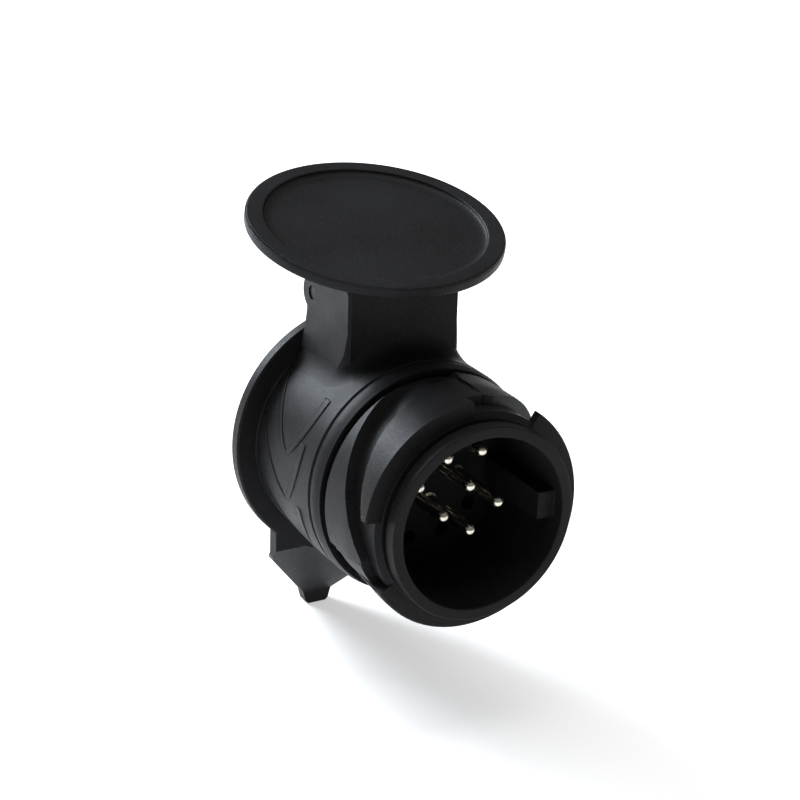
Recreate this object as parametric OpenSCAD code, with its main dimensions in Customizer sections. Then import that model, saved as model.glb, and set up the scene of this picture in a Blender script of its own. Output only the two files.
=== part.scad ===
// Trailer wiring adapter: a 13-pole bayonet plug in front, a 7-pole socket under a sprung lid behind.
// +X is the way the plug points, +Z is up, and the origin is the centre of the plug's front rim.

/* [Plug sleeve] */
// Outer radius of the sleeve's front lip
lip_r = 20.6; // [20.3:0.1:21]
// Inner radius of the sleeve
sleeve_bore_r = 18.25; // [18:0.05:18.4]
// Outer radius of the sleeve behind the lip, where the bayonet ring turns
sleeve_r = 19.6; // [19.5:0.05:19.8]
// Length of the front lip
lip_len = 3.2; // [2.5:0.1:3.4]
// Width of the key inside the sleeve
key_w = 6; // [5:0.1:7]
// Distance from the axis to the key's inner face
key_inner = 14.4; // [14:0.1:15]

/* [Bayonet ring] */
// Radial running clearance of the ring on the sleeve
ring_fit = 0.08; // [0.04:0.01:0.1]
// Outer radius of the three ramps
ramp_r = 24.4; // [24:0.1:24.6]
// Arc of each ramp in degrees
ramp_arc = 93; // [80:1:100]
// Angle of the first ramp's start, from +Z toward +Y
ramp_start = -83; // [-90:1:-75]
// Largest radius of the ring
ring_r = 24.7; // [24.3:0.1:24.9]
// Slope of the shoulder behind each ramp in degrees
shoulder_slope = 25; // [22:1:27]

/* [Housing] */
// Radius of the housing
body_r = 25.2; // [25:0.1:26]
// Where the housing's front rim stands
body_front = -24; // [-24.5:0.1:-23.8]
// Where the housing's rear rim stands
body_rear = -53.8; // [-54:0.1:-53.5]
// Radius of the rear socket's bore
socket_r = 20.8; // [20.5:0.1:21.2]
// Width of the keyway in the bottom of the rear bore
keyway_w = 8; // [7:0.5:9]
// Thickness of the tower along the plug's axis
tower_d = 19.1; // [18:0.1:20]
// Width of the tower at its waist
tower_w = 25.8; // [25:0.1:27]

/* [Top plate] */
// Radius of the plate on the tower
plate_r = 27.4; // [26:0.1:28.5]
// Thickness of the plate
plate_t = 2.6; // [2.4:0.1:3]
// How far the plate leans forward in degrees
plate_tilt = 13; // [8:1:15]
// Radius of the dished middle
dish_r = 21.8; // [20:0.1:23]
// Depth of the dish
dish_depth = 1.1; // [0.8:0.1:1.3]

/* [Rear lid] */
// Radius of the lid
lid_r = 28.6; // [28:0.1:29.5]
// Thickness of the lid
lid_t = 3.2; // [2.8:0.1:3.5]
// How far the finger tab leans back at its tip
tab_lean = 17.5; // [14:0.5:19]
// Radius of the hinge pin
hinge_r = 1.5; // [1.4:0.05:1.6]

/* [Contacts] */
// Diameter of a plug pin
pin_d = 2.7; // [2.4:0.1:2.8]
// How far the pin tips stand behind the plug's rim
pin_tip = 6.5; // [5.5:0.1:8]
// Radius of the circle of the nine outer pin places
pin_circle_r = 12.9; // [12.6:0.1:13.1]
// Radius of the circle of the six outer socket contacts
contact_circle_r = 9.6; // [9.4:0.1:9.9]
// Bore of a socket contact
contact_bore = 5.1; // [4.9:0.1:5.2]

/* [Hidden] */
$fn = 96;
black = [0.06, 0.06, 0.065];
rubber = [0.03, 0.03, 0.035];
nickel = [0.78, 0.76, 0.7];
brass = [0.75, 0.6, 0.3];
steel = [0.6, 0.61, 0.63];
copper = [0.72, 0.4, 0.25];
eps = 0.01;
slack = 0.05;

// Stack along the axis, from the front rim backwards
shoulder_mid = -11;
ramp_back_mid = -4.8;
floor_r = 22.1;
floor_lift = 4.5;
shelf_front = -29;
shelf_rear = -38;
shelf_r = 17;
pocket_r = 23.2;
flange_r = 23.1;
flange_t = 2;
carrier_front = -24;
carrier_rear = -28.6;
pin_rear = -33;
collar_r = 1.7;
wire_rear = -37;
insert_face = -51.5;
insert_base = -41;
contact_face = -51;
core_r = 14.5;

// Hinge and lid
hinge_x = -51.3;
hinge_z = 34.3;
knuckle_r = 4;
lid_front = body_rear - 0.4;
lid_rear = lid_front - lid_t;
slot_half = 8.4;
seal_t = 1;
// Right edge of the finger tab as [y, z], from the lid down to the tip
tab_side = [[19.2, -20], [19.2, -27.5], [18.6, -29], [5.5, -44.5], [3.6, -46.8], [2.9, -49.4],
  [2, -50.2]];

// Tower and plate
tower_front = -34.4;
tower_rear = tower_front - tower_d;
plate_x = -47.7;
plate_z = 49.2;

// Pin places as [y, z]: three on the outer circle and four inside it
outer_angles = [-57, -21, 15];
empty_angles = [51, 123, 159, 195, 231, 267];
inner_places = [[0.9, 5.2], [-5.1, -0.4], [7.7, 0.4], [1.3, -4.6]];
pin_places = concat([for (a = outer_angles) on_circle(pin_circle_r, a)], inner_places);
contact_places = [on_circle(contact_circle_r, 240), on_circle(contact_circle_r, 300),
  on_circle(contact_circle_r, 0), [0, 0], on_circle(contact_circle_r, 180),
  on_circle(contact_circle_r, 60), on_circle(contact_circle_r, 120)];
screw_angles = [30, 150, 270];
sleeve_screw_r = 21.95;

// [y, z] of a point at an angle from +Z toward +Y
function on_circle(r, a) = [r * sin(a), r * cos(a)];

// Turns a profile of [radius, x] points round the plug's axis
module revolve(points)
  rotate([0, 90, 0])
    rotate_extrude()
      polygon(points);

// The same between two angles, from +Z toward +Y
module sector(a1, a2, points)
  rotate([0, 90, 0])
    rotate([0, 0, 180 - a2])
      rotate_extrude(angle = a2 - a1)
        polygon(points);

// A cylinder along X, from x1 forward to x2
module bar(r, x1, x2, at = [0, 0])
  translate([x1, at[0], at[1]])
    rotate([0, 90, 0])
      cylinder(r = r, h = x2 - x1);

// A cylinder along Y, centred on y = 0 unless it is moved
module axle(r, len, x = hinge_x, z = hinge_z, y = 0)
  translate([x, y, z])
    rotate([90, 0, 0])
      cylinder(r = r, h = len, center = true);

// A straight rod between two points
module rod(p, q, r) {
  v = q - p;
  len = norm(v);
  translate(p)
    rotate([0, acos(v[2] / len), atan2(v[1], v[0])])
      cylinder(r = r, h = len, $fn = 24);
}

module at_plate()
  translate([plate_x, 0, plate_z])
    rotate([0, plate_tilt, 0])
      children();

// ---- Housing with its tower
module tower_block() {
  half = tower_w / 2;
  corner = 2.2;
  intersection() {
    translate([tower_rear, 0, 0])
      rotate([90, 0, 90])
        linear_extrude(tower_d)
          polygon([[-half - 1.9, 15], [-half - 1.3, 22.5], [-half - 0.5, 26], [-half, 30],
            [-half, 38], [-half - 0.6, 42], [-half - 2, 46], [-half - 3, 54], [half + 3, 54],
            [half + 2, 46], [half + 0.6, 42], [half, 38], [half, 30], [half + 0.5, 26],
            [half + 1.3, 22.5], [half + 1.9, 15]]);
    linear_extrude(60) {
      translate([tower_rear, -half - 4])
        square([tower_d - corner - 1, 2 * half + 8]);
      translate([tower_rear, -half + 0.4])
        square([tower_d, 2 * half - 0.8]);
      for (s = [-1, 1])
        translate([tower_front - corner - 1.2, s * (half - corner + 0.2)])
          circle(corner + 1.2);
    }
  }
}

module main_housing() color(black)
  difference() {
    union() {
      revolve([[shelf_r, shelf_rear], [socket_r, shelf_rear], [socket_r, body_rear],
        [23.9, body_rear], [24.4, body_rear + 0.6], [24.6, body_rear + 4], [body_r - 0.2, -42],
        [body_r, -34], [body_r, -27.6], [body_r - 0.35, -27.4], [body_r - 0.35, -26.6],
        [body_r, -26.4], [body_r, -25.2], [body_r - 0.45, body_front + 0.8],
        [24.2, body_front + 0.8], [pocket_r, body_front + 0.4], [pocket_r, shelf_front],
        [shelf_r, shelf_front]]);
      difference() {
        union() {
          tower_block();
          axle(knuckle_r, tower_w);
        }
        bar(24, -60, -20);
      }
    }
    // Top of the tower, cut to the plate's underside
    at_plate()
      translate([-45, -45, -plate_t])
        cube([90, 90, 30]);
    // Slot for the lid's knuckles and the spring
    translate([-70, -slot_half, 28.6])
      cube([70 + hinge_x + 5.4, 2 * slot_half, 13.6]);
    // Relief behind the hinge for the turning lid arm
    translate([-70, -slot_half, 20])
      cube([70 + body_rear + 1.2, 2 * slot_half, 16]);
    // Bore for the hinge pin
    axle(hinge_r, 40);
    // Spigot pocket for the plate
    at_plate()
      translate([2, -6, -plate_t - 2.2])
        cube([8, 12, 3]);
    // Keyway at the bottom of the rear bore
    translate([body_rear - 1, -keyway_w / 2, -22.9])
      cube([14, keyway_w, 6]);
    // Screw holes through the shelf
    for (a = screw_angles) {
      bar(0.95, shelf_rear - eps, shelf_rear + 7, on_circle(18.8, a));
      bar(0.7, shelf_front - 2.2, shelf_front + eps, on_circle(sleeve_screw_r, a + 60));
    }
  }

module top_plate() color(black)
  at_plate() {
    fillet = 1.8;
    rotate_extrude($fn = 120)
      polygon(concat([[0, -plate_t], [plate_r - 0.4, -plate_t], [plate_r, -plate_t + 0.4],
        [plate_r, -0.4], [plate_r - 0.4, 0], [dish_r + fillet, 0]],
        [for (t = [15:15:75]) [dish_r + fillet * cos(t), -dish_depth * sin(t)]],
        [[dish_r, -dish_depth], [0, -dish_depth]]));
    translate([2.1, -5.9, -plate_t - 2])
      cube([7.8, 11.8, 2.2]);
  }

// ---- Plug end
module plug_sleeve() color(black)
  difference() {
    union() {
      revolve([[sleeve_bore_r, 0], [lip_r, 0], [lip_r, -lip_len],
        [sleeve_r, -lip_len], [sleeve_r, shelf_front + flange_t], [flange_r, shelf_front + flange_t],
        [flange_r, shelf_front], [sleeve_bore_r, shelf_front]]);
      intersection() {
        translate([-23, key_inner, -key_w / 2])
          cube([20, 8, key_w]);
        bar(sleeve_bore_r + 0.5, -23, -3);
      }
    }
    // Grooves for the ring's O-ring and for its clip
    revolve([[sleeve_r - 0.75, -14.3], [sleeve_r + 1, -14.3], [sleeve_r + 1, -13.3],
      [sleeve_r - 0.75, -13.3]]);
    revolve([[sleeve_r - 0.5, -26.6], [sleeve_r + 1, -26.6], [sleeve_r + 1, -25.7],
      [sleeve_r - 0.5, -25.7]]);
    for (a = screw_angles)
      bar(0.8, shelf_front - 1, shelf_front + 3, on_circle(sleeve_screw_r, a + 60));
  }

module sleeve_o_ring() color(rubber)
  rotate([0, 90, 0])
    translate([0, 0, -13.8])
      rotate_extrude()
        translate([sleeve_r - 0.35, 0])
          circle(r = 0.36, $fn = 24);

module ring_clip() color(steel)
  sector(-150, 150, [[sleeve_r - 0.4, -26.5], [sleeve_r + 1.1, -26.5], [sleeve_r + 1.1, -25.8],
    [sleeve_r - 0.4, -25.8]]);

module pin_carrier() color(black)
  difference() {
    bar(sleeve_bore_r - slack, carrier_rear, carrier_front);
    for (p = pin_places)
      bar(collar_r, -40, 0, p);
    for (a = empty_angles)
      bar(pin_d / 2 + 0.3, carrier_rear + 1, 0, on_circle(pin_circle_r, a));
    translate([carrier_rear - 1, key_inner + 3.6, -key_w / 2 - 0.1])
      cube([8, 8, key_w + 0.2]);
  }

module carrier_gasket() color(rubber)
  difference() {
    bar(sleeve_bore_r - slack, shelf_front + eps, carrier_rear);
    for (p = pin_places)
      bar(collar_r, -40, 0, p);
  }

module plug_pin(i) color(nickel) {
  r = pin_d / 2;
  bar(r, carrier_front, -pin_tip - r, pin_places[i]);
  bar(collar_r, pin_rear + 2, carrier_front, pin_places[i]);
  bar(0.8, pin_rear, pin_rear + 2, pin_places[i]);
  translate([-pin_tip - r, pin_places[i][0], pin_places[i][1]])
    sphere(r, $fn = 48);
}

// ---- Socket end
module socket_insert() color(black)
  difference() {
    union() {
      bar(socket_r - slack, insert_base, shelf_rear - 0.8);
      bar(core_r, insert_face, insert_base);
    }
    for (p = contact_places)
      bar(contact_bore / 2 + 0.55, -60, 0, p);
    for (a = screw_angles)
      bar(1.25, -60, 0, on_circle(18.8, a));
  }

module insert_gasket() color(rubber)
  difference() {
    bar(socket_r - slack, shelf_rear - 0.8, shelf_rear);
    bar(shelf_r - 0.5, -60, 0);
    for (a = screw_angles)
      bar(1.25, -60, 0, on_circle(18.8, a));
  }

module socket_contact(i) color(brass) {
  p = contact_places[i];
  difference() {
    bar(contact_bore / 2 + 0.55, contact_face, -39, p);
    bar(contact_bore / 2, contact_face - 1, -40.2, p);
  }
  bar(0.8, -39.1, wire_rear, p);
}

// A lead between two solder beads
module link_wire(i) color(copper) {
  a = pin_places[i];
  b = contact_places[i];
  bead_r = 1;
  bead_len = 1.3;
  bar(bead_r, pin_rear - bead_len, pin_rear, a);
  bar(bead_r, wire_rear, wire_rear + bead_len, b);
  rod([pin_rear - bead_len / 2, a[0], a[1]], [wire_rear + bead_len / 2, b[0], b[1]], 0.5);
}

// A screw along X: len is how far its shank runs from the seat, forward if it is positive
module screw(at, seat_x, len, head_r, head_h, shank_r) {
  head_x = seat_x - sign(len) * head_h;
  difference() {
    bar(head_r, min(seat_x, head_x), max(seat_x, head_x), at);
    translate([head_x, at[0], at[1]])
      cube([head_h, head_r / 4, head_r * 1.5], center = true);
  }
  bar(shank_r, min(seat_x, seat_x + len), max(seat_x, seat_x + len), at);
}

module insert_screws() color(steel)
  for (a = screw_angles)
    screw(on_circle(18.8, a), insert_base, 9, 2, 1.4, 0.9);

module sleeve_screws() color(steel)
  for (a = screw_angles)
    screw(on_circle(sleeve_screw_r, a + 60), shelf_front + flange_t, -4, 1.1, 1, 0.65);

// ---- Hinge, ring and lid
module hinge_pin() color(steel)
  axle(hinge_r - 0.02, tower_w - 0.6);

module hinge_spring() color(steel) {
  for (k = [-3:3])
    translate([hinge_x, k * 1.0, hinge_z])
      rotate([90, 0, 0])
        rotate_extrude($fn = 48)
          translate([2.35, 0])
            circle(r = 0.52, $fn = 16);
  rod([hinge_x + 2.3, 2.9, hinge_z], [hinge_x + 2.3, 2.9, hinge_z - 4.6], 0.45);
  rod([hinge_x - 2.35, -2.9, hinge_z], [hinge_x - 2.35, -2.9, hinge_z - 9], 0.45);
}

module bayonet_ring() color(black)
  difference() {
    union() {
      revolve([[sleeve_r + ring_fit, -4.4], [20.7, -4.4], [21, -4.6], [floor_r, -4.9], [floor_r, -21.8],
        [22.9, -21.8], [22.9, -25.4], [sleeve_r + ring_fit, -25.4]]);
      for (k = [0:2])
        rotate([-120 * k, 0, 0])
          ring_third();
    }
    // Finger notches at the rear edge
    for (a = [0, 120, 240])
      rotate([-a, 0, 0])
        bar(8, -23, -19, [0, ring_r + 6]);
  }

// Half-space in front of a slanted flat, which is close to a helix over this arc
module ahead_of(mid)
  rotate([-ramp_start + 9, 0, 0])
    translate([mid, 0, 0])
      rotate([0, 0, shoulder_slope])
        translate([0, -60, 0])
          cube([60, 120, 60]);

// A ramp, the rising floor behind it, and the shoulder that closes the mating lug's track
module ring_third() {
  intersection() {
    sector(ramp_start, ramp_start + ramp_arc, [[21, -19], [23.4, -19], [ramp_r - 0.1, -9],
      [ramp_r, -7], [ramp_r, -4.9], [ramp_r - 0.3, -4.5], [21, -4.5]]);
    ahead_of(ramp_back_mid);
  }
  intersection() {
    sector(ramp_start + 30, ramp_start + ramp_arc + 1, [[21, -21.4], [30, -21.4], [30, -8.5], [21, -8.5]]);
    rotate([-ramp_start - 105, 0, 0])
      translate([-22, 0, floor_lift])
        rotate([0, 90, 0])
          cylinder(r1 = 19.6, r2 = 19.9, h = 16.5);
  }
  difference() {
    sector(ramp_start - 28, ramp_start + 79, [[21, -21.7], [ring_r - 0.5, -21.7], [ring_r - 0.2, -21.3],
      [ring_r - 0.2, -14], [24.1, -8.3], [21, -8.3]]);
    ahead_of(shoulder_mid);
  }
}

module rear_lid() color(black)
  difference() {
    union() {
      revolve([[0, lid_rear], [lid_r - 0.5, lid_rear], [lid_r, lid_rear + 0.5],
        [lid_r, lid_front - 0.4], [lid_r - 0.4, lid_front], [0, lid_front]]);
      // Arms up to the hinge
      for (s = [-1, 1])
        translate([0, s * 5.9, 0])
          rotate([90, 0, 0])
            linear_extrude(4.2, center = true)
              polygon([[lid_rear, 20], [lid_rear, 34], [lid_rear + 1.6, 37],
                [hinge_x - 2, hinge_z + 2.4], [hinge_x - 2.4, hinge_z - 2.2], [-54.6, 29.5],
                [lid_front - 0.2, 27], [lid_front - 0.2, 20]]);
      for (s = [-1, 1])
        axle(3.2, 4.2, y = s * 5.9);
      translate([lid_rear, -8, 20])
        cube([lid_t - 0.2, 16, 13]);
      // Finger tab, upright at first and then leaning back
      tab_profile();
    }
    // Seat for the seal and the hollow behind it
    revolve([[16, lid_front - seal_t + 0.1], [24.5, lid_front - seal_t + 0.1],
      [24.5, lid_front + 1], [16, lid_front + 1]]);
    axle(hinge_r + 0.06, 40);
  }

// The tab is a plate bent back and then down, trimmed to a narrow end
module tab_profile()
  intersection() {
    rotate([90, 0, 0])
      linear_extrude(44, center = true)
        polygon([[lid_rear, -20], [lid_rear, -27], [lid_front - tab_lean - 3, -46.6],
          [lid_front - tab_lean - 3, -49.6], [lid_front - tab_lean - 2.6, -50], [lid_front - tab_lean, -50],
          [lid_front - tab_lean, -47], [lid_front - 0.1, -25.6], [lid_front - 0.1, -20]]);
    rotate([90, 0, 90])
      linear_extrude(200, center = true)
        polygon(concat(tab_side, [for (i = [len(tab_side) - 1:-1:0]) [-tab_side[i][0], tab_side[i][1]]]));
  }

module lid_seal() color(rubber)
  revolve([[16.1, lid_front - seal_t + 0.1], [24.4, lid_front - seal_t + 0.1], [24.4, lid_front + 0.1],
    [16.1, lid_front + 0.1]]);

main_housing();
top_plate();
plug_sleeve();
sleeve_o_ring();
ring_clip();
pin_carrier();
carrier_gasket();
for (i = [0:6]) {
  plug_pin(i);
  socket_contact(i);
  link_wire(i);
}
socket_insert();
insert_gasket();
insert_screws();
sleeve_screws();
hinge_pin();
hinge_spring();
bayonet_ring();
rear_lid();
lid_seal();
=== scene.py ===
"""Trailer wiring adapter: looks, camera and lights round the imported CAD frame."""
import math

import bmesh
import bpy
from mathutils import Matrix, Vector


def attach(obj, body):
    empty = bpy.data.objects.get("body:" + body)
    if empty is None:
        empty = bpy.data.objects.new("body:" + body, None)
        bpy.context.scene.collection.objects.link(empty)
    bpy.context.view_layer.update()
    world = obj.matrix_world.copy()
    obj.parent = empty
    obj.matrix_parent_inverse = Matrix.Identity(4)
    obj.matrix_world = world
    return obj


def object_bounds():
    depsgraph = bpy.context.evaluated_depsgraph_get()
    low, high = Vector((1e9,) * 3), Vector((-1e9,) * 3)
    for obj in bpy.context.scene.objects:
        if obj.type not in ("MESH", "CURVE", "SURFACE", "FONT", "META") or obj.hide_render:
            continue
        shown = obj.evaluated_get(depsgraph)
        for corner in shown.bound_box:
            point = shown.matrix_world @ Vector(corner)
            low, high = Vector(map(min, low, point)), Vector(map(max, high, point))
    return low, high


MM = 0.001
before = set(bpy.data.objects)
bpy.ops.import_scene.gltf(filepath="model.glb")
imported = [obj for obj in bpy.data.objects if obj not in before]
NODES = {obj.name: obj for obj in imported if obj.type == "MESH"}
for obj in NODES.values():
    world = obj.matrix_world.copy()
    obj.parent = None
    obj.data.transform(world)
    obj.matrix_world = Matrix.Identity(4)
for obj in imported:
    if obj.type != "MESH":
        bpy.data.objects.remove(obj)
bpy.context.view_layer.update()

# Camera, from the photograph's viewing angle, about the plug's front rim
VIEW_AZIMUTH = math.radians(-29.7)
VIEW_ELEVATION = math.radians(21.3)
VIEW_ROLL = math.radians(1.9)
VIEW_DISTANCE = 394.3 * MM
VIEW_LENS = 90
RIM_RIGHT = 16.7 * MM
RIM_UP = -24.6 * MM

# Housing: its radius at places along the axis, from the rear forward
BODY_PROFILE = ((-53.2, 24.4), (-49.8, 24.6), (-42.0, 25.0), (-34.0, 25.2), (-27.6, 25.2))
# Nested curved steps on each side of the housing: where each one starts, in degrees from the top
STEP_TOPS = (46, 70, 102)
STEP_DROP = 34
STEP_REAR_X = -51.6
# No step runs past the housing's rear edge
STEP_REAR_LIMIT = -53.1
STEP_FRONT_X = -31.9
STEP_TIP_X = -38.2
STEP_HEIGHT = 0.15
STEP_POINTS = 36
# Tower: its foot, and its half width at heights above the axis
TOWER_REAR_X = -53.3
TOWER_FRONT_X = -34.4
TOWER_CORNER_R = 3.4
TOWER_FOOT_HALF = 14.3
TOWER_WIDTHS = ((15, 14.8), (22.5, 14.2), (26, 13.4), (30, 12.9), (40, 12.9))
# Hollow fillet round the tower's foot
FOOT_FILLET = 4.0
FOOT_INTO_TOWER = 0.08
FOOT_INTO_BODY = 0.03
FOOT_DEPTH = 1.5
FOOT_ARC_STEPS = 10
# Metres within which two points count as one, and degrees beyond which an edge is rounded
SAME_POINT = 0.5e-6
SHARP_ANGLE = 32
# Floor
FLOOR_SIZE = 8
FLOOR_GLOW = 0.5
# Lights
WORLD_LIGHT = 0.2
AIM = (-0.03, 0, 0.01)


# ---- Material helpers
def new_material(name):
    mat = bpy.data.materials.new(name)
    mat.use_nodes = True
    nodes = mat.node_tree.nodes
    return mat, nodes, mat.node_tree.links, nodes["Principled BSDF"]


def noise(nodes, links, coord, scale, detail=3, roughness=0.5):
    tex = nodes.new("ShaderNodeTexNoise")
    tex.inputs["Scale"].default_value = scale
    tex.inputs["Detail"].default_value = detail
    tex.inputs["Roughness"].default_value = roughness
    links.new(coord, tex.inputs["Vector"])
    return tex.outputs["Fac"]


def spread(nodes, links, value, low, high, to_low, to_high):
    """Maps the middle of a noise, from low to high, to a wanted range."""
    node = nodes.new("ShaderNodeMapRange")
    node.inputs["From Min"].default_value = low
    node.inputs["From Max"].default_value = high
    node.inputs["To Min"].default_value = to_low
    node.inputs["To Max"].default_value = to_high
    links.new(value, node.inputs["Value"])
    return node.outputs["Result"]


def mix_colour(nodes, links, factor, a, b):
    node = nodes.new("ShaderNodeMix")
    node.data_type = "RGBA"
    for socket, value in ((node.inputs[6], a), (node.inputs[7], b)):
        if isinstance(value, tuple):
            socket.default_value = (*value, 1)
        else:
            links.new(value, socket)
    links.new(factor, node.inputs[0])
    return node.outputs[2]


def bump(nodes, links, height, strength, distance, after=None):
    node = nodes.new("ShaderNodeBump")
    node.inputs["Strength"].default_value = strength
    node.inputs["Distance"].default_value = distance
    links.new(height, node.inputs["Height"])
    if after is not None:
        links.new(after, node.inputs["Normal"])
    return node.outputs["Normal"]


def moulded_plastic(name, dark, light, rough, grain=1.0, wear=0.35):
    """Black moulded plastic: spark-eroded grain, handling sheen, faint dust and worn specks."""
    mat, nodes, links, shader = new_material(name)
    coord = nodes.new("ShaderNodeTexCoord").outputs["Object"]
    broad = noise(nodes, links, coord, 60, 4)
    base = mix_colour(nodes, links, spread(nodes, links, broad, 0.35, 0.65, 0, 1), dark, light)
    # Worn specks, brighter than the plastic
    specks = spread(nodes, links, noise(nodes, links, coord, 900, 2), 0.74, 0.82, 0, wear)
    worn = tuple(min(1, c * 6 + 0.05) for c in light)
    # Each grain of the moulded texture is a little lighter and duller, or darker and shinier
    fine = noise(nodes, links, coord, 3800, 3, 0.6)
    pale_grain = spread(nodes, links, fine, 0.5, 0.72, 0, 0.8)
    grained = mix_colour(nodes, links, pale_grain, base, tuple(2.2 * c for c in light))
    links.new(mix_colour(nodes, links, specks, grained, worn), shader.inputs["Base Color"])
    handled = noise(nodes, links, coord, 140, 5, 0.6)
    gloss = nodes.new("ShaderNodeMath")
    links.new(spread(nodes, links, handled, 0.3, 0.7, rough - 0.04, rough + 0.05), gloss.inputs[0])
    links.new(spread(nodes, links, fine, 0.35, 0.65, -0.12, 0.1), gloss.inputs[1])
    links.new(gloss.outputs[0], shader.inputs["Roughness"])
    shader.inputs["Specular IOR Level"].default_value = 0.09
    coarse = noise(nodes, links, coord, 420, 2)
    flow = bump(nodes, links, coarse, 0.3 * grain, 0.00012)
    links.new(bump(nodes, links, fine, 0.8 * grain, 0.00008, flow), shader.inputs["Normal"])
    return mat


def rubber(name):
    mat, nodes, links, shader = new_material(name)
    coord = nodes.new("ShaderNodeTexCoord").outputs["Object"]
    bloom = spread(nodes, links, noise(nodes, links, coord, 240, 5), 0.4, 0.7, 0, 1)
    links.new(mix_colour(nodes, links, bloom, (0.012, 0.012, 0.013), (0.03, 0.03, 0.031)),
              shader.inputs["Base Color"])
    links.new(spread(nodes, links, bloom, 0, 1, 0.62, 0.8), shader.inputs["Roughness"])
    links.new(bump(nodes, links, noise(nodes, links, coord, 2600, 3), 0.5, 0.00008),
              shader.inputs["Normal"])
    return mat


def metal(name, colour, tarnish, rough, stretch=(1, 1, 1)):
    """Turned or drawn metal with tool marks across it and a little tarnish."""
    mat, nodes, links, shader = new_material(name)
    coord = nodes.new("ShaderNodeTexCoord").outputs["Object"]
    scaled = nodes.new("ShaderNodeMapping")
    scaled.inputs["Scale"].default_value = stretch
    links.new(coord, scaled.inputs["Vector"])
    stain = spread(nodes, links, noise(nodes, links, coord, 320, 5), 0.45, 0.75, 0, 0.7)
    links.new(mix_colour(nodes, links, stain, colour, tarnish), shader.inputs["Base Color"])
    shader.inputs["Metallic"].default_value = 1
    marks = noise(nodes, links, scaled.outputs["Vector"], 1500, 3)
    links.new(spread(nodes, links, marks, 0.3, 0.7, rough - 0.05, rough + 0.1),
              shader.inputs["Roughness"])
    links.new(bump(nodes, links, marks, 0.2, 0.00003), shader.inputs["Normal"])
    return mat


def pale_floor(name):
    mat, nodes, links, shader = new_material(name)
    coord = nodes.new("ShaderNodeTexCoord").outputs["Object"]
    tone = spread(nodes, links, noise(nodes, links, coord, 5, 4), 0.3, 0.7, 0, 1)
    links.new(mix_colour(nodes, links, tone, (0.9, 0.9, 0.9), (0.93, 0.93, 0.93)),
              shader.inputs["Base Color"])
    shader.inputs["Roughness"].default_value = 0.75
    # A little light of its own, as a lit backdrop has
    shader.inputs["Emission Color"].default_value = (1, 1, 1, 1)
    shader.inputs["Emission Strength"].default_value = FLOOR_GLOW
    return mat


BLACK = moulded_plastic("black_moulding", (0.0085, 0.0085, 0.009), (0.014, 0.0142, 0.0155), 0.42)
SLEEVE_BLACK = moulded_plastic("sleeve_moulding", (0.008, 0.008, 0.008), (0.013, 0.013, 0.0135),
                               0.45)
INSERT_BLACK = moulded_plastic("insert_moulding", (0.007, 0.007, 0.008), (0.012, 0.012, 0.013),
                               0.55, grain=1.3, wear=0.15)
RUBBER = rubber("black_rubber")
NICKEL = metal("nickel_plate", (0.78, 0.75, 0.66), (0.5, 0.45, 0.34), 0.16, (0.15, 1, 1))
BRASS = metal("contact_brass", (0.72, 0.53, 0.25), (0.36, 0.24, 0.1), 0.28, (1, 0.2, 1))
STEEL = metal("plain_steel", (0.56, 0.56, 0.57), (0.3, 0.29, 0.28), 0.3)
DARK_STEEL = metal("blackened_steel", (0.03, 0.03, 0.032), (0.05, 0.045, 0.04), 0.45)
COPPER = metal("tinned_copper", (0.68, 0.38, 0.24), (0.4, 0.3, 0.22), 0.35)


# ---- CAD nodes: rounded edges and finished materials
def round_edges(obj, radius):
    weld = obj.modifiers.new("weld", "WELD")
    weld.merge_threshold = SAME_POINT
    bevel = obj.modifiers.new("edge_radius", "BEVEL")
    bevel.width = radius * MM
    bevel.segments = 2
    bevel.limit_method = "ANGLE"
    bevel.angle_limit = math.radians(SHARP_ANGLE)
    bevel.use_clamp_overlap = True
    bevel.harden_normals = False
    shade = obj.modifiers.new("shading", "WEIGHTED_NORMAL")
    shade.keep_sharp = False
    shade.weight = 80


def paint(obj, material):
    obj.data.materials.clear()
    obj.data.materials.append(material)


def finish_cad_nodes():
    # Each moulding's plastic and the radius of its edges
    mouldings = {
        "main_housing": (BLACK, 0.3),
        "top_plate": (BLACK, 0.35),
        "bayonet_ring": (BLACK, 0.3),
        "rear_lid": (BLACK, 0.35),
        "plug_sleeve": (SLEEVE_BLACK, 0.3),
        "pin_carrier": (INSERT_BLACK, 0.2),
        "socket_insert": (INSERT_BLACK, 0.2),
    }
    for name, (plastic, radius) in mouldings.items():
        paint(NODES[name], plastic)
        round_edges(NODES[name], radius)
    for name in ("sleeve_o_ring", "carrier_gasket", "insert_gasket", "lid_seal"):
        paint(NODES[name], RUBBER)
    for name in ("ring_clip", "hinge_spring", "insert_screws", "sleeve_screws"):
        paint(NODES[name], STEEL)
    paint(NODES["hinge_pin"], DARK_STEEL)
    for i in range(1, 8):
        paint(NODES[f"plug_pin_{i}"], NICKEL)
        paint(NODES[f"socket_contact_{i}"], BRASS)
        paint(NODES[f"link_wire_{i}"], COPPER)


finish_cad_nodes()


# ---- Moulded details on the housing, in millimetres until the mesh is made
def add_piece(name, verts, faces, body, material):
    mesh = bpy.data.meshes.new(name)
    mesh.from_pydata([[c * MM for c in v] for v in verts], [], faces)
    mesh.validate()
    obj = bpy.data.objects.new(name, mesh)
    bpy.context.scene.collection.objects.link(obj)
    built = bmesh.new()
    built.from_mesh(mesh)
    bmesh.ops.remove_doubles(built, verts=built.verts, dist=SAME_POINT)
    bmesh.ops.recalc_face_normals(built, faces=built.faces)
    built.to_mesh(mesh)
    built.free()
    mesh.polygons.foreach_set("use_smooth", [True] * len(mesh.polygons))
    mesh.materials.append(material)
    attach(obj, body)
    return obj


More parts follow.
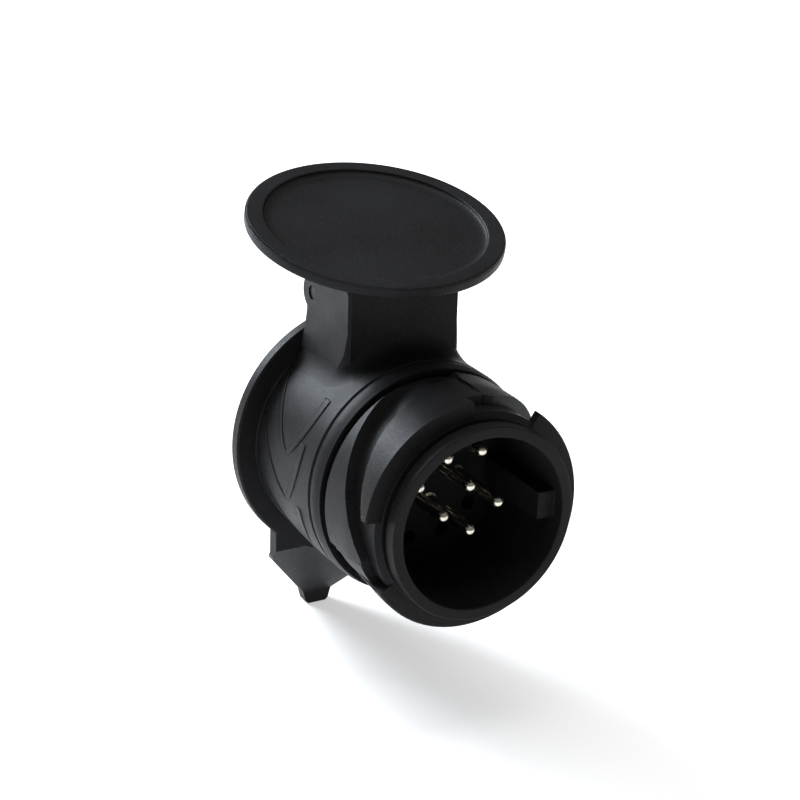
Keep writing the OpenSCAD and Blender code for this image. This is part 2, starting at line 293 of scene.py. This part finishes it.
def body_radius(x):
    for (x0, r0), (x1, r1) in zip(BODY_PROFILE, BODY_PROFILE[1:]):
        if x <= x1:
            return r0 + (r1 - r0) * max(0.0, x - x0) / (x1 - x0)
    return BODY_PROFILE[-1][1]


def on_body(x, degrees, lift):
    """The point at this place along the axis and angle from the top, lifted off the surface."""
    a = math.radians(degrees)
    r = body_radius(x) + lift
    return (x, r * math.sin(a), r * math.cos(a))


def tube_faces(rows, columns):
    """Faces of a tube of rows, each a closed loop of points, with a cap at each end."""
    faces = []
    for i in range(rows - 1):
        this, after = i * columns, (i + 1) * columns
        for j in range(columns):
            k = (j + 1) % columns
            faces.append((this + j, this + k, after + k, after + j))
    faces.append(tuple(range(columns)))
    faces.append(tuple((rows - 1) * columns + j for j in range(columns)))
    return faces


def step_arm(name, points, side):
    """A shallow step along the points, steep in front and sloping back to the surface."""
    verts = []
    for i, (x, degrees) in enumerate(points):
        t = i / (len(points) - 1)
        # It rises quickly at the head and falls away at the tip
        h = STEP_HEIGHT * min(1.0, 12 * t + 0.25, 6 * (1 - t) + 0.15)
        # Distances behind the step's front edge, and lifts off the surface
        section = ((0.12, -0.1), (0.0, h), (-0.35, h), (-1.0, 0.6 * h), (-2.2, 0.02), (-2.4, -0.1))
        for dx, lift in section:
            verts.append(on_body(max(x + dx, STEP_REAR_LIMIT), side * degrees, lift))
    add_piece(name, verts, tube_faces(len(points), len(section)), "housing", BLACK)


def add_steps():
    """Three nested steps on each side; each is a rear and a front arm that meet at a low tip."""
    ts = [i / (STEP_POINTS - 1) for i in range(STEP_POINTS)]
    for side, label in ((-1, "left"), (1, "right")):
        for n, top in enumerate(STEP_TOPS, 1):
            rear = [(STEP_REAR_X + (STEP_TIP_X - STEP_REAR_X) * (0.85 * t + 0.15 * t ** 4),
                     top + STEP_DROP * t) for t in ts]
            front = [(STEP_FRONT_X + (STEP_TIP_X - STEP_FRONT_X) * t ** 2.5,
                      top + STEP_DROP * t) for t in ts]
            # A short hook at the head of each arm
            rear = [(STEP_REAR_X - 0.9, top - 0.6), (STEP_REAR_X - 0.2, top - 0.7)] + rear
            front = [(STEP_FRONT_X - 0.9, top + 0.2), (STEP_FRONT_X - 0.2, top - 0.5)] + front
            step_arm(f"side_step_{label}_{n}_rear", rear, side)
            step_arm(f"side_step_{label}_{n}_front", front, side)


def tower_half(z):
    """The tower's half width at a height, as it narrows from foot to waist."""
    for (z0, w0), (z1, w1) in zip(TOWER_WIDTHS, TOWER_WIDTHS[1:]):
        if z <= z1:
            return w0 + (w1 - w0) * (z - z0) / (z1 - z0)
    return TOWER_WIDTHS[-1][1]


def tower_outline():
    """Points and outward directions round the tower's foot, from rear left to rear right."""
    left = []
    arc_x = TOWER_FRONT_X - TOWER_CORNER_R
    arc_y = TOWER_FOOT_HALF - TOWER_CORNER_R
    for i in range(13):
        left.append(((TOWER_REAR_X + (arc_x - TOWER_REAR_X) * i / 12, -TOWER_FOOT_HALF), (0, -1)))
    for i in range(1, 9):
        a = math.radians(90 * i / 9)
        n = (math.sin(a), -math.cos(a))
        left.append(((arc_x + TOWER_CORNER_R * n[0], -arc_y + TOWER_CORNER_R * n[1]), n))
    front = [((TOWER_FRONT_X, -arc_y + 2 * arc_y * i / 20), (1, 0)) for i in range(21)]
    right = [((x, -y), (nx, -ny)) for (x, y), (nx, ny) in reversed(left)]
    return left + front + right


def body_top(x, y):
    """Height of the housing's surface above a point of its axis plane."""
    return math.sqrt(max(0.0, body_radius(x) ** 2 - y * y))


def add_tower_foot():
    """A hollow curve from the housing up to the tower, with its inner edge sunk in both."""
    verts = []
    outline = tower_outline()
    for (x, y), (nx, ny) in outline:
        foot = body_top(x, y)
        head = foot + FOOT_FILLET
        inward = (TOWER_FOOT_HALF - tower_half(head)) * abs(ny) + FOOT_INTO_TOWER
        low = Vector((x + nx * FOOT_FILLET, y + ny * FOOT_FILLET, 0))
        low.z = body_top(low.x, low.y) - FOOT_INTO_BODY
        high = Vector((x - nx * inward, y - ny * inward, head))
        corner = Vector((x, y, foot))
        for i in range(FOOT_ARC_STEPS + 1):
            t = i / FOOT_ARC_STEPS
            verts.append(tuple((1 - t) ** 2 * low + 2 * t * (1 - t) * corner + t * t * high))
        verts.append((x - nx * FOOT_DEPTH, y - ny * FOOT_DEPTH, foot - FOOT_DEPTH))
    faces = tube_faces(len(outline), FOOT_ARC_STEPS + 2)
    add_piece("tower_foot_fillet", verts, faces, "housing", BLACK)


add_steps()
add_tower_foot()


# ---- Stage, lights and camera
def add_floor():
    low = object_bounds()[0].z
    bpy.ops.mesh.primitive_plane_add(size=FLOOR_SIZE, location=(0, 0, low))
    floor = bpy.context.object
    floor.name = "floor"
    floor.data.materials.append(pale_floor("pale_floor"))


def area_light(name, place, size, power, colour):
    data = bpy.data.lights.new(name, "AREA")
    data.shape = "RECTANGLE"
    data.size = data.size_y = size
    data.energy = power
    data.color = colour
    light = bpy.data.objects.new(name, data)
    bpy.context.scene.collection.objects.link(light)
    light.location = place
    light.rotation_euler = (Vector(AIM) - Vector(place)).to_track_quat("-Z", "Y").to_euler()


def add_lights():
    world = bpy.data.worlds.new("studio")
    world.use_nodes = True
    background = world.node_tree.nodes["Background"]
    background.inputs["Color"].default_value = (1, 1, 1, 1)
    background.inputs["Strength"].default_value = WORLD_LIGHT
    bpy.context.scene.world = world
    area_light("overhead", (-0.1, 0.0, 1.0), 0.9, 5, (1, 1, 1))
    area_light("window_behind_left", (-0.85, -0.32, 0.5), 0.5, 15, (0.86, 0.93, 1.0))


def add_camera():
    toward = Vector((math.cos(VIEW_ELEVATION) * math.cos(VIEW_AZIMUTH),
                     math.cos(VIEW_ELEVATION) * math.sin(VIEW_AZIMUTH),
                     math.sin(VIEW_ELEVATION)))
    level_right = Vector((0, 0, 1)).cross(toward).normalized()
    level_up = toward.cross(level_right)
    right = math.cos(VIEW_ROLL) * level_right + math.sin(VIEW_ROLL) * level_up
    up = math.cos(VIEW_ROLL) * level_up - math.sin(VIEW_ROLL) * level_right
    place = VIEW_DISTANCE * toward - RIM_RIGHT * right - RIM_UP * up
    data = bpy.data.cameras.new("camera")
    data.lens = VIEW_LENS
    data.sensor_width = 36
    data.clip_start = 0.01
    camera = bpy.data.objects.new("camera", data)
    bpy.context.scene.collection.objects.link(camera)
    turn = Matrix((right, up, toward)).transposed()
    camera.matrix_world = Matrix.Translation(place) @ turn.to_4x4()
    bpy.context.scene.camera = camera


add_floor()
add_lights()
add_camera()
bpy.context.scene.view_settings.view_transform = "Standard"
